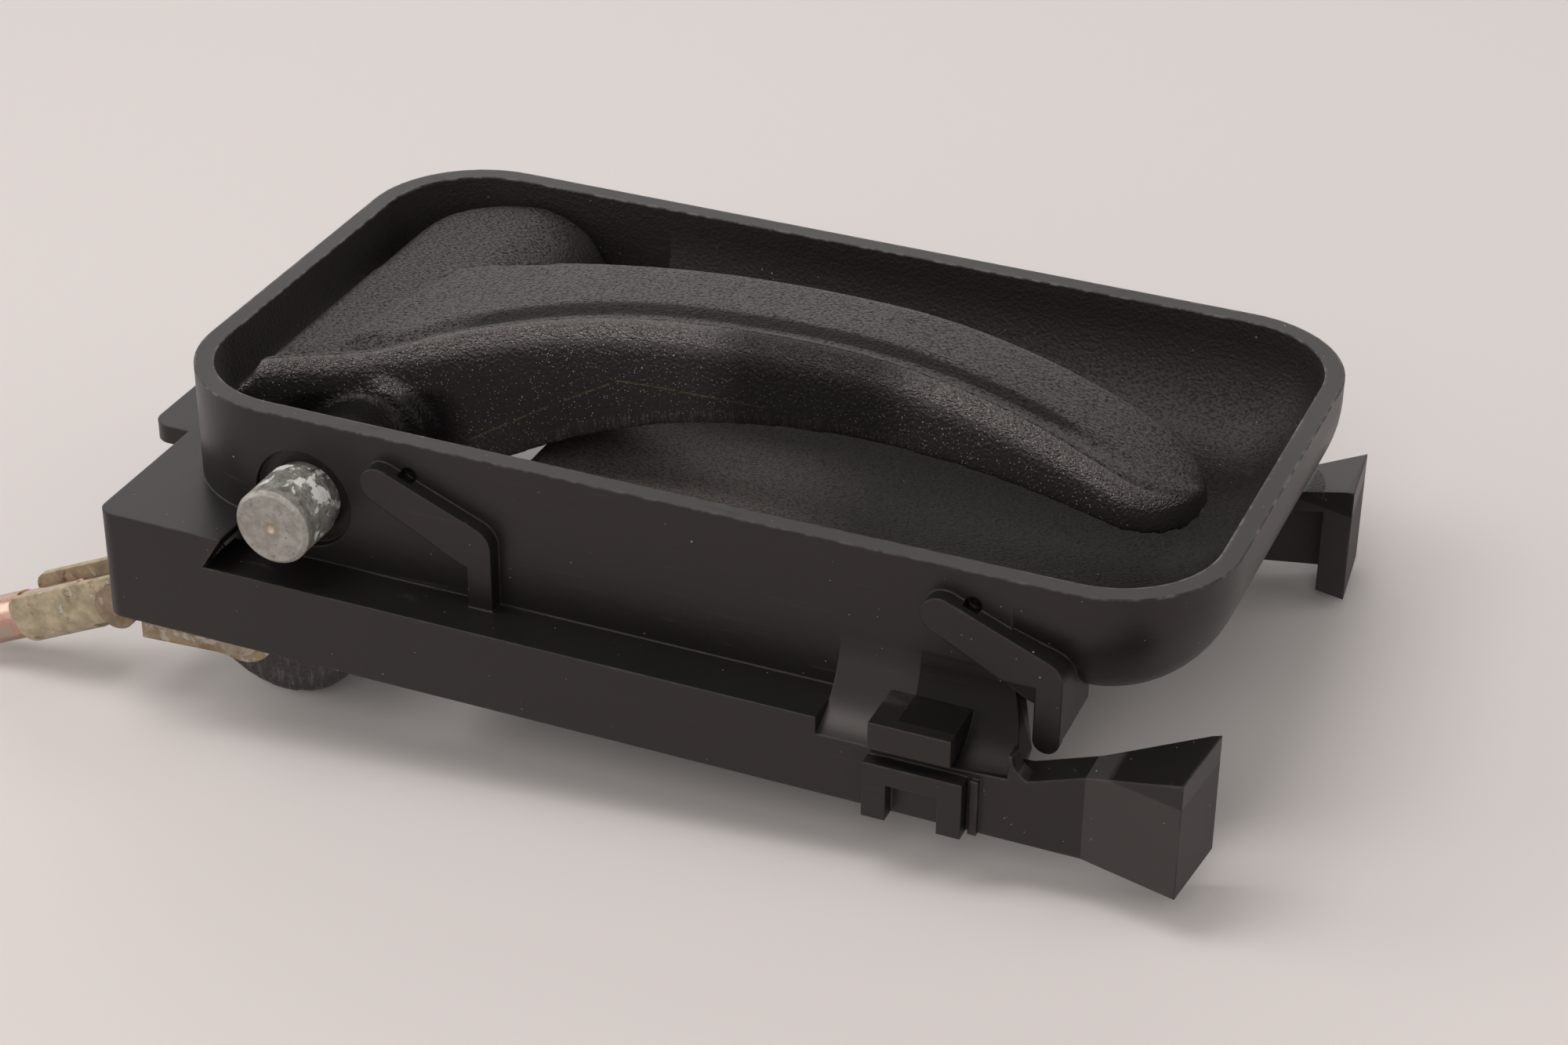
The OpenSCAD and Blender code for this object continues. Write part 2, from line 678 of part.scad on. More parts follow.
// Joins a row of sections into one solid and closes its two ends
module loft(rings, cap) {
    n = len(rings[0]);
    m = len(rings);
    points = [for (ring = rings) each ring];
    sides = [for (i = [0 : m - 2], j = [0 : n - 1])
        let (k = (j + 1) % n)
        each [[i * n + j, i * n + k, (i + 1) * n + k], [i * n + j, (i + 1) * n + k, (i + 1) * n + j]]];
    first = [for (face = cap) [for (j = [len(face) - 1 : -1 : 0]) face[j]]];
    last = [for (face = cap) [for (j = face) (m - 1) * n + j]];
    polyhedron(points, concat(first, sides, last));
}

module grip() {
    root = [for (x = [-wing_reach + wing_r : 1.1 : root_x - over]) x];
    span = [for (x = [root_x : 3 : grip_l - tip_l - over]) x];
    tip = [for (s = [0 : 9 : 81]) grip_l - tip_l + tip_l * sin(s)];
    loft([for (x = concat(root, span, tip)) grip_ring(x)], grip_cap());
}

module wing_section(inset) {
    r = wing_r - inset;
    x = -wing_reach + inset;
    top = wing_h - inset;
    translate([x + r, top - r]) circle(r);
    translate([x, -inset]) square([r, top - r + inset]);
    translate([x + r, -inset]) square([-x - r, top + inset]);
}

module hub() {
    crossbar(0, 0, lever_y0, grip_y - over * 2 - lever_y0, nose_r);
    crossbar(0, 0, front_y(0), spring_y - wire_d - front_y(0), hub_r);
    crossbar(0, 0, spring_y + spring_l + wire_d, lever_y1 - spring_y - spring_l - wire_d, hub_r);
    intersection() {
        translate([0, 0, -skin_t]) linear_extrude(wing_h + 2 * skin_t) wing_plan();
        upright(front_y(-wing_reach), lever_y1 - front_y(-wing_reach)) wing_profile();
    }
}

// Plan of everything on the hub, whose front edge follows the grip's
module front_plan(inset) {
    ahead = [for (x = [-wing_reach - over : 2.5 : hub_r + over]) [x, front_y(x) + inset]];
    polygon(concat(ahead, [[hub_r + over, lever_y1], [-wing_reach - over, lever_y1]]));
}

// Plan of the wing with its two rounded left corners
module wing_plan() {
    x0 = -wing_reach;
    y0 = front_y(x0) + bite;
    intersection() {
        front_plan(bite);
        union() {
            translate([x0 + wing_r, y0 + wing_r]) circle(wing_r);
            translate([x0 + wing_back_r, lever_y1 - wing_back_r]) circle(wing_back_r);
            translate([x0, y0 + wing_r]) square([wing_back_r, lever_y1 - wing_back_r - y0 - wing_r]);
            translate([x0 + wing_r, y0]) square([wing_back_r - wing_r, lever_y1 - wing_back_r - y0]);
            translate([x0 + wing_back_r, y0]) square([hub_r - x0 - wing_back_r, lever_y1 - y0]);
        }
    }
}

// The skirt that carries the grip's front face on in front of the hub
module apron() {
    intersection() {
        translate([0, 0, -apron_drop]) linear_extrude(wing_h + apron_drop - bite)
            difference() {
                front_plan(bite / 2);
                front_plan(bite / 2 + skin_t);
            }
        translate([wing_r - wing_reach, 0, -apron_drop])
            cube([wing_reach - wing_r + hub_r, grip_y, wing_h + apron_drop]);
    }
}

module wing_profile() {
    difference() {
        wing_section(0);
        wing_section(skin_t);
    }
    // Fills the corner between the wing's top and the hub
    polygon([[-over, wing_h - skin_t], [-over, wing_h], [0, wing_h],
             (hub_r - bite) * [sin(35), cos(35)], nose_r * [sin(35), cos(35)]]);
}

module arm() {
    lobe = [-lobe_x, -lobe_z];
    difference() {
        upright(lever_y0 + slip, arm_t) belt([0, 0], nose_r - bite, lobe, lobe_r);
        // Rounded beside the skirt's inner corner
        translate([0, 0, wall_foot - stop_gap]) linear_extrude(nose_r - wall_foot) difference() {
            translate([-lobe_x - lobe_r, 0]) square([lobe_x + lobe_r, lever_y0 + slip + arm_t + over]);
            bowl_plan(bowl_wall + stop_gap);
        }
    }
}

module lever() {
    color(black)
        difference() {
            union() {
                hub();
                apron();
                grip();
                arm();
            }
            crossbar(0, 0, lever_y0 - over, lever_y1 - lever_y0 + 2 * over, pin_r + pin_fit);
            crossbar(-eye_x, -eye_z, lever_y0 - over, arm_t + 3 * over, eye_rivet_r + rivet_fit);
        }
}

pin_end = bowl_y1 + pin_tail;
washer_y = bowl_y1;
clip_y = washer_y + washer_t;

module pivot_pin() {
    groove = pin_r * 0.8;
    color(zinc)
        translate([0, pin_end, 0]) rotate([90, 0, 0])
            rotate_extrude()
                polygon([[0, 0], [pin_r - pin_edge, 0], [pin_r, pin_edge],
                         [pin_r, pin_end - clip_y - clip_t - slip], [groove, pin_end - clip_y - clip_t - slip],
                         [groove, pin_end - clip_y], [pin_r, pin_end - clip_y],
                         [pin_r, pin_end - lever_y0 + lever_play], [pin_neck_r, pin_end - lever_y0 + lever_play],
                         [pin_neck_r, pin_end - pin_head_l], [pin_head_r, pin_end - pin_head_l],
                         [pin_head_r, pin_end], [pin_head_r - pin_edge, pin_end + pin_edge],
                         [pin_edge, pin_end + pin_edge], [0, pin_end]]);
}

module pin_washer() {
    color(zinc)
        difference() {
            crossbar(0, 0, washer_y, washer_t, washer_r);
            crossbar(0, 0, washer_y - over, washer_t + 2 * over, pin_r + pin_fit);
        }
}

module pin_clip() {
    color("dimgray")
        upright(clip_y, clip_t)
            difference() {
                circle(clip_r);
                circle(pin_r * 0.8);
                translate([-pin_r * 0.66, -clip_r - over]) square([pin_r * 1.32, clip_r + over]);
                for (side = [-1, 1]) translate([side * pin_r, pin_r * 0.5]) circle(pin_r * 0.3);
            }
}

coil_r = pin_r + coil_gap + wire_d / 2;

// The return spring's centre line: a leg under the floor, the coils, and a leg under the wing
function coil_point(a) = [coil_r * cos(a), spring_y + spring_l * (a + 90) / (360 * turns + 180), coil_r * sin(a)];
function spring_path() =
    let (last = 90 + 360 * turns)
    concat([[floor_x + 3 * over, spring_y, under_z - wire_d / 2 + slip]],
           [for (a = [-90 : 20 : last]) coil_point(a)],
           [[-lever_leg, spring_y + spring_l, wing_h - skin_t - wire_d / 2 - slip]]);

function unit(v) = v / norm(v);
function tube_ring(p, d, r) =
    let (side = unit(cross(d, abs(d[1]) < 0.9 ? [0, 1, 0] : [1, 0, 0])), up = cross(side, d))
    [for (a = [0 : 45 : 315]) p + r * (cos(a) * side + sin(a) * up)];

module return_spring() {
    path = spring_path();
    n = len(path);
    color("silver")
        loft([for (i = [0 : n - 1])
            tube_ring(path[i], unit(path[min(i + 1, n - 1)] - path[max(i - 1, 0)]), wire_d / 2)],
            [[for (j = [0 : 7]) j]]);
}

eye = [-eye_x, -eye_z];
jaw = eye + [-strap_l, strap_rise];
strap_y = lever_y0 - strap_t - slip * 3;
clevis_y = strap_y + strap_t / 2;
clevis_r = rod_r - crimp;
clevis_half = clevis_r + sheet_t;

module pull_strap() {
    color(brass_zinc)
        difference() {
            union() {
                upright(strap_y, strap_t) belt(eye, eye_r, jaw, tongue_r);
                upright(strap_y, strap_t)
                    polygon([eye, jaw + [over, 0], jaw + [over, -tongue_r - heel_h],
                             eye + [-eye_r * 0.7, -eye_r * 0.9], eye + [0, -eye_r * 0.98]]);
            }
            crossbar(eye[0], eye[1], strap_y - over, strap_t + 2 * over, eye_rivet_r);
            crossbar(jaw[0], jaw[1], strap_y - over, strap_t + 2 * over, clevis_rivet_r + rivet_fit);
        }
}

strap_washer_y = lever_y0 + slip + arm_t + slip;

module strap_rivet() {
    color(zinc)
        translate([eye[0], 0, eye[1]]) {
            crossbar(0, 0, strap_y - slip, strap_washer_y + washer_t + slip - strap_y + 2 * slip, eye_rivet_r);
            crossbar(0, 0, strap_y - slip - head_h, head_h, eye_rivet_r * 1.7);
            crossbar(0, 0, strap_washer_y + washer_t + slip, head_h, eye_rivet_r * 1.5);
        }
}

module strap_washer() {
    color(zinc)
        difference() {
            crossbar(eye[0], eye[1], strap_washer_y, washer_t, eye_rivet_r * 2);
            crossbar(eye[0], eye[1], strap_washer_y - over, washer_t + 2 * over, eye_rivet_r);
        }
}

// Places a piece of the rod's end, drawn with the rivet at the origin and the rod along -X
module at_jaw() {
    translate([jaw[0], clevis_y, jaw[1]]) rotate([0, -rod_slope, 0]) children();
}

// End view of the folded sheet, open at the top
module clevis_end(r) {
    circle(r);
    translate([-r, 0]) square([2 * r, clevis_half]);
}

module rod_clevis() {
    color(zinc)
        difference() {
            at_jaw()
                difference() {
                    intersection() {
                        translate([-clevis_l, 0, 0]) rotate([90, 0, 90])
                            linear_extrude(clevis_l + clevis_half) clevis_end(clevis_half);
                        translate([0, clevis_half + over, 0]) rotate([90, 0, 0])
                            linear_extrude(2 * clevis_half + 2 * over) {
                                circle(clevis_half);
                                translate([-clevis_l + clevis_half / 2, -clevis_half])
                                    square([clevis_l - clevis_half / 2, 2 * clevis_half]);
                                translate([-clevis_l, -clevis_half]) square([clevis_half, 1.5 * clevis_half]);
                                translate([-clevis_l + clevis_half / 2, clevis_half / 2]) circle(clevis_half / 2);
                            }
                    }
                    translate([-clevis_l - over, 0, 0]) rotate([90, 0, 90])
                        linear_extrude(clevis_l + clevis_half + 2 * over) {
                            circle(clevis_r);
                            translate([-clevis_r, 0]) square([2 * clevis_r, clevis_half + over]);
                        }
                    translate([-jaw_l, -clevis_r, -clevis_half - over])
                        cube([jaw_l + clevis_half + over, 2 * clevis_r, 2 * clevis_half + 2 * over]);
                }
            crossbar(jaw[0], jaw[1], clevis_y - clevis_half - over, 2 * clevis_half + 2 * over, clevis_rivet_r);
        }
}

module clevis_rivet() {
    color("saddlebrown")
        translate([jaw[0], 0, jaw[1]]) {
            crossbar(0, 0, clevis_y - clevis_half, 2 * clevis_half, clevis_rivet_r);
            for (y = [clevis_y - clevis_half - head_h, clevis_y + clevis_half])
                crossbar(0, 0, y, head_h, clevis_rivet_r * 1.6);
        }
}

// Two spacers that keep the strap in the middle of the jaws
module clevis_spacers() {
    l = clevis_r - strap_t / 2 - slip;
    color(zinc)
        difference() {
            for (y = [clevis_y - strap_t / 2 - slip - l, clevis_y + strap_t / 2 + slip])
                crossbar(jaw[0], jaw[1], y, l, clevis_rivet_r * 1.6);
            crossbar(jaw[0], jaw[1], clevis_y - clevis_half, 2 * clevis_half, clevis_rivet_r);
        }
}

module pull_rod() {
    chamfer = rod_r / 5;
    // The stretch that the folded sheet grips
    seat_r = clevis_r + slip / 2;
    color(brass_zinc)
        at_jaw()
            rotate([0, -90, 0])
                rotate_extrude()
                    polygon([[0, jaw_l + over], [seat_r - chamfer, jaw_l + over], [seat_r, jaw_l + over + chamfer],
                             [seat_r, clevis_l + pin_edge], [rod_r, clevis_l + pin_edge],
                             [rod_r, clevis_l + rod_l - chamfer], [rod_r - chamfer, clevis_l + rod_l],
                             [0, clevis_l + rod_l]]);
}

housing();
lever();
pivot_pin();
pin_washer();
pin_clip();
return_spring();
pull_strap();
strap_rivet();
strap_washer();
rod_clevis();
clevis_rivet();
clevis_spacers();
pull_rod();
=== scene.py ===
"""Looks of a recessed car door pull handle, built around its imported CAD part."""

import math

import bpy
import numpy as np
from mathutils import Matrix, Vector


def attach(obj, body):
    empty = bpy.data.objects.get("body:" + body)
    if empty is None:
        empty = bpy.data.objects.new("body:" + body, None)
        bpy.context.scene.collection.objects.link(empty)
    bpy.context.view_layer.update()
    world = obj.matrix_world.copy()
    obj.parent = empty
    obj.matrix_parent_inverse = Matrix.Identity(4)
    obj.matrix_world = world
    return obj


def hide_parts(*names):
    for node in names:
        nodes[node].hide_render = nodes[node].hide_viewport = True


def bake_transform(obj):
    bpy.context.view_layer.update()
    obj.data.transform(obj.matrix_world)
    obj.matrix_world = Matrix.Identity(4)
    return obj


MM = 0.001

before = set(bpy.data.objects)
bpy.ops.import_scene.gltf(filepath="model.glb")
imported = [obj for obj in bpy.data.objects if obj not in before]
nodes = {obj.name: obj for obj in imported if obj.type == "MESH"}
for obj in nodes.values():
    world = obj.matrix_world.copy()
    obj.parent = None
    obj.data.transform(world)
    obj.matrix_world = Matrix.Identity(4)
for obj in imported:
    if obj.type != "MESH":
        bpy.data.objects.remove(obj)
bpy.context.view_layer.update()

# Tint of the worn black plastic's reflections
BROWNISH = (1.0, 0.90, 0.87)

# The bowl's inside from above, in mm: its middle, its half lengths and its corners' radius
BOWL_MIDDLE = (44.5, 42.5)
BOWL_HALF = (64.0, 34.6)
BOWL_CORNER = 14.0

# Where in the noise the pores lie, the same for lever and bowl
PORE_SHIFT = 3.0

# The brown line left on the front of the grip, as (x, z) points in mm
WITNESS = ((11.2, -0.2), (20.7, 5.2), (29.5, 10.0), (48.2, 10.4))

# The grip's lower front edge, in mm: its highest point (x, z) and its radius
ARCH_X, ARCH_Z, ARCH_R = 61.0, 8.4, 95.0

# Radius in mm that the pin's bore has in the lever's skin, and what counts as that bore
BORE_R, BORE_REACH = 4.06, 4.7


class Nodes:
    """Short ways to build one procedural material."""

    def __init__(self, name):
        self.mat = bpy.data.materials.new(name)
        self.mat.use_nodes = True
        self.tree = self.mat.node_tree
        self.shader = self.tree.nodes["Principled BSDF"]
        coord = self.tree.nodes.new("ShaderNodeTexCoord")
        scale = self.tree.nodes.new("ShaderNodeVectorMath")
        scale.operation = "SCALE"
        scale.inputs["Scale"].default_value = 1.0 / MM
        self.tree.links.new(coord.outputs["Object"], scale.inputs[0])
        self.place = scale.outputs[0]  # the point in the row frame, in mm
        split = self.tree.nodes.new("ShaderNodeSeparateXYZ")
        self.tree.links.new(self.place, split.inputs[0])
        self.x, self.y, self.z = split.outputs

    def put(self, socket, value):
        if isinstance(value, bpy.types.NodeSocket):
            self.tree.links.new(value, socket)
        elif isinstance(value, (tuple, list)) and len(value) == 3 and socket.type == "RGBA":
            socket.default_value = (*value, 1.0)
        else:
            socket.default_value = value

    def math(self, op, a, b=0.0, clamp=False):
        node = self.tree.nodes.new("ShaderNodeMath")
        node.operation, node.use_clamp = op, clamp
        self.put(node.inputs[0], a)
        self.put(node.inputs[1], b)
        return node.outputs[0]

    def vector(self, op, a, b):
        node = self.tree.nodes.new("ShaderNodeVectorMath")
        node.operation = op
        self.put(node.inputs[0], a)
        self.put(node.inputs[1], b)
        return node.outputs["Value" if op == "DOT_PRODUCT" else "Vector"]

    def times(self, a, b):
        return self.math("MULTIPLY", a, b)

    def plus(self, a, b):
        return self.math("ADD", a, b)

    def minus(self, a, b):
        return self.math("SUBTRACT", a, b)

    def both(self, *masks):
        """The masks' product."""
        out = masks[0]
        for mask in masks[1:]:
            out = self.times(out, mask)
        return out

    def either(self, *masks):
        """The largest of the masks."""
        out = masks[0]
        for mask in masks[1:]:
            out = self.math("MAXIMUM", out, mask)
        return out

    def without(self, mask):
        return self.minus(1.0, mask)

    def reach(self, a, b):
        """The length of the arm that goes a one way and b across it."""
        return self.math("SQRT", self.plus(self.times(a, a), self.times(b, b)))

    def ramp(self, value, low, high):
        """0 below low, 1 above high, smooth between; high may be the smaller one."""
        node = self.tree.nodes.new("ShaderNodeMapRange")
        node.interpolation_type = "SMOOTHSTEP"
        self.put(node.inputs["Value"], value)
        lo, hi, a, b = (low, high, 0.0, 1.0) if low < high else (high, low, 1.0, 0.0)
        for key, v in (("From Min", lo), ("From Max", hi), ("To Min", a), ("To Max", b)):
            node.inputs[key].default_value = v
        return node.outputs["Result"]

    def within(self, value, low, high, soft=0.3):
        return self.times(self.ramp(value, low - soft, low), self.ramp(value, high + soft, high))

    def spread(self, scale, stretch, shift):
        """The place, scaled by axis and moved, for a texture to read."""
        node = self.tree.nodes.new("ShaderNodeVectorMath")
        node.operation = "MULTIPLY_ADD"
        self.put(node.inputs[0], self.place)
        node.inputs[1].default_value = [scale * s for s in stretch]
        node.inputs[2].default_value = shift
        return node.outputs[0]

    def noise(self, scale, detail=3.0, rough=0.55, stretch=(1, 1, 1), shift=0.0):
        where = self.spread(scale, stretch, (shift, shift * 0.7, shift * 1.3))
        node = self.tree.nodes.new("ShaderNodeTexNoise")
        self.put(node.inputs["Vector"], where)
        node.inputs["Scale"].default_value = 1.0
        node.inputs["Detail"].default_value = detail
        node.inputs["Roughness"].default_value = rough
        return node.outputs["Fac"]

    def cells(self, scale, feature="F1", shift=0.0):
        where = self.spread(scale, (1, 1, 1), (shift, shift, shift))
        node = self.tree.nodes.new("ShaderNodeTexVoronoi")
        node.feature = feature
        self.put(node.inputs["Vector"], where)
        node.inputs["Scale"].default_value = 1.0
        return node.outputs["Distance"]

    def patches(self, low, high, *args, **kwargs):
        """Blots where the noise rises from low to high."""
        return self.ramp(self.noise(*args, **kwargs), low, high)

    def dust(self, per_mm, radius, share, shift=0.0):
        """Scattered specks of this radius in mm; share of the cells hold one."""
        spot = self.ramp(self.cells(per_mm, shift=shift), radius * per_mm, radius * per_mm * 0.6)
        rare = 0.62 - 0.24 * share
        return self.both(spot, self.patches(rare, rare + 0.02, per_mm * 0.6, 1.0, shift=shift + 5))

    def _mix(self, kind, mask, a, b):
        node = self.tree.nodes.new("ShaderNodeMix")
        node.data_type = kind
        self.put(node.inputs["Factor"], mask)
        self.put(node.inputs["A"], a)
        self.put(node.inputs["B"], b)
        return node.outputs["Result"]

    def blend(self, mask, a, b):
        """Colour a where the mask is 0, colour b where it is 1."""
        return self._mix("RGBA", mask, a, b)

    def mix(self, mask, a, b):
        """Number a where the mask is 0, number b where it is 1."""
        return self._mix("FLOAT", mask, a, b)

    def paint(self, base, mask, share, color):
        """The base with this share of a colour laid over it where the mask is 1."""
        return self.blend(self.times(mask, share), base, color)

    def bump(self, height, distance, normal=None, strength=1.0):
        node = self.tree.nodes.new("ShaderNodeBump")
        node.inputs["Strength"].default_value = strength
        node.inputs["Distance"].default_value = distance * MM
        self.put(node.inputs["Height"], height)
        if normal is not None:
            self.put(node.inputs["Normal"], normal)
        return node.outputs["Normal"]

    def bevel(self, radius):
        node = self.tree.nodes.new("ShaderNodeBevel")
        node.samples = 6
        node.inputs["Radius"].default_value = radius * MM
        return node.outputs["Normal"]

    def normal(self, name="Normal"):
        return self.tree.nodes.new("ShaderNodeNewGeometry").outputs[name]

    def edge(self, radius):
        """1 near an edge, 0 on a face."""
        turn = self.vector("DOT_PRODUCT", self.bevel(radius), self.normal("True Normal"))
        return self.ramp(turn, 0.985, 0.8)

    def facing(self, axis, low, high):
        """1 where the surface turns towards an axis, 0 where it turns away."""
        split = self.tree.nodes.new("ShaderNodeSeparateXYZ")
        self.put(split.inputs[0], self.normal())
        return self.ramp(split.outputs[axis], low, high)

    def outward(self, x, y):
        """How much the surface turns away from the upright line through x, y."""
        arm = self.vector("SUBTRACT", self.place, (x, y, 0.0))
        flat = self.vector("MULTIPLY", arm, (1.0, 1.0, 0.0))
        return self.vector("DOT_PRODUCT", flat, self.normal())

    def plate(self, middle, halves, r):
        """1 within an upright prism with corners of radius r, all in mm."""
        gaps = []
        for value, centre, half in zip((self.x, self.y), middle, halves):
            away = self.math("ABSOLUTE", self.minus(value, centre))
            gaps.append(self.math("MAXIMUM", self.minus(away, half - r), 0.0))
        return self.ramp(self.reach(*gaps), r + 0.1, r - 0.1)

    def stored(self, name):
        """A value that the mesh keeps at its points."""
        node = self.tree.nodes.new("ShaderNodeAttribute")
        node.attribute_name = name
        return node.outputs["Fac"]

    def stroke(self, a, b, width):
        """A line from a to b, both (x, z) in mm, seen from the front."""
        dx, dz = b[0] - a[0], b[1] - a[1]
        px, pz = self.minus(self.x, a[0]), self.minus(self.z, a[1])
        along = self.plus(self.times(px, dx), self.times(pz, dz))
        t = self.math("DIVIDE", along, dx * dx + dz * dz, clamp=True)
        far = self.reach(self.minus(px, self.times(t, dx)), self.minus(pz, self.times(t, dz)))
        return self.ramp(far, width, width * 0.4)

    def finish(self, color, rough, normal=None, metal=0.0, specular=0.5, tint=(1, 1, 1)):
        for name, value in (
            ("Specular Tint", tint),
            ("Base Color", color),
            ("Roughness", rough),
            ("Metallic", metal),
            ("Specular IOR Level", specular),
        ):
            self.put(self.shader.inputs[name], value)
        if normal is not None:
            self.put(self.shader.inputs["Normal"], normal)
        return self.mat


def pores(n, share):
    """Short dark dashes in the leather grain, under half a millimetre long."""
    dashes = n.patches(0.50, 0.57, 1.0, 1.5, 0.5, stretch=(2.3, 4.8, 3.2), shift=PORE_SHIFT)
    return n.times(dashes, share)


def pebble(n, shift=0.0):
    """Leather grain: soft pebbles on a finer unevenness."""
    grain = n.times(n.cells(2.3, "SMOOTH_F1", shift=shift), 0.8)
    return n.plus(grain, n.times(n.noise(3.0, 2.0, shift=shift), 0.9))


def inside_bowl(n):
    """1 on the walls and the floor of the bowl, 0 on its outside, its rim and the frame."""
    upright = n.both(n.ramp(n.z, -5.3, -5.1), n.ramp(n.z, 10.69, 10.6))
    inward = n.ramp(n.outward(*BOWL_MIDDLE), 6.0, 2.0)
    return n.both(n.plate(BOWL_MIDDLE, BOWL_HALF, BOWL_CORNER), upright, inward)


def rim_wear(n, edge):
    """Patches of wear on the rim's edges, fewer along its front."""
    ends = n.either(n.ramp(n.x, -8.0, -15.0), n.ramp(n.x, 99.0, 106.0))
    far = n.either(n.ramp(n.y, 14.0, 30.0), ends)
    share = n.plus(n.times(far, 0.6), 0.4)
    return n.both(edge, n.ramp(n.z, 9.6, 10.4), share, n.patches(0.44, 0.62, 0.5, 4.0, shift=2.0))


def housing_material():
    n = Nodes("moulded_black")
    inside = inside_bowl(n)
    low = n.both(inside, n.ramp(n.z, 6.0, 0.0))
    # Painted light: a paler base colour on the left part of the bowl's floor
    painted_light_left_floor = n.both(inside, n.ramp(n.z, 4.0, 0.0), n.ramp(n.x, 62.0, 40.0))
    painted_light_left_floor = n.both(painted_light_left_floor, n.ramp(n.y, 52.0, 44.0))
    wedge = n.both(n.ramp(n.x, 99.6, 99.8), n.ramp(n.z, -6.2, -6.6))
    scratch = n.patches(0.62, 0.72, 0.35, 5.0, 0.6, stretch=(0.25, 1, 6))
    specks = n.either(n.dust(0.8, 0.09, 0.35, 4.0), n.dust(0.3, 0.16, 0.3, 31.0))
    cloud = n.noise(0.05, 4.0, shift=9.0)
    edge = n.edge(0.7)
    worn_edge = n.both(edge, n.patches(0.52, 0.66, 0.22, 5.0, shift=12.0))

    base = n.blend(cloud, (0.0045, 0.0040, 0.0041), (0.0080, 0.0070, 0.0068))
    base = n.blend(inside, base, (0.013, 0.0110, 0.0106))
    # Painted light on the left part of the bowl's floor
    base = n.blend(painted_light_left_floor, base, (0.15, 0.126, 0.117))
    base = n.blend(n.both(low, pores(n, 0.55)), base, (0.005, 0.0045, 0.005))
    base = n.paint(base, scratch, 0.25, (0.04, 0.036, 0.034))
    base = n.paint(base, wedge, 0.85, (0.032, 0.027, 0.0275))
    base = n.paint(base, rim_wear(n, edge), 0.6, (0.28, 0.25, 0.23))
    base = n.paint(base, worn_edge, 0.3, (0.09, 0.08, 0.072))
    base = n.paint(base, specks, 0.6, (0.35, 0.32, 0.28))

    rough = n.mix(cloud, 0.34, 0.46)
    rough = n.mix(inside, rough, 0.52)
    rough = n.mix(wedge, rough, 0.62)
    rough = n.mix(n.times(scratch, 0.6), rough, 0.6)

    fine = n.times(n.noise(1.2, 3.0, stretch=(1, 1, 3)), 0.12)
    normal = n.bump(n.mix(inside, fine, pebble(n)), 0.09, n.bevel(0.35), 0.9)

    # The ramp between the ledge and the right hook, which shines little
    ramp = n.both(n.within(n.x, 78.0, 92.0, 0.1), n.within(n.z, -10.2, -1.0))
    ramp = n.both(ramp, n.ramp(n.y, 7.1, 6.9), n.ramp(n.y, 0.05, 0.1))
    dull = n.either(n.times(ramp, 0.7), n.both(low, pores(n, 0.45)))
    return n.finish(base, rough, normal, specular=n.mix(dull, 0.46, 0.0), tint=BROWNISH)


def above_lower_edge(n):
    """How far a point of the grip's front lies above its lower edge, in mm."""
    away = n.minus(n.x, ARCH_X)
    fall = n.math("DIVIDE", n.times(away, away), 2 * ARCH_R)
    return n.minus(n.plus(n.z, fall), ARCH_Z)


def witness_line(n):
    """The thin broken line that bends over the grip's front."""
    ends = zip(WITNESS, WITNESS[1:], (0.16, 0.16, 0.14))
    line = n.either(*(n.stroke(a, b, width) for a, b, width in ends))
    return n.both(line, n.patches(0.34, 0.55, 0.9, 3.0, shift=6.0))


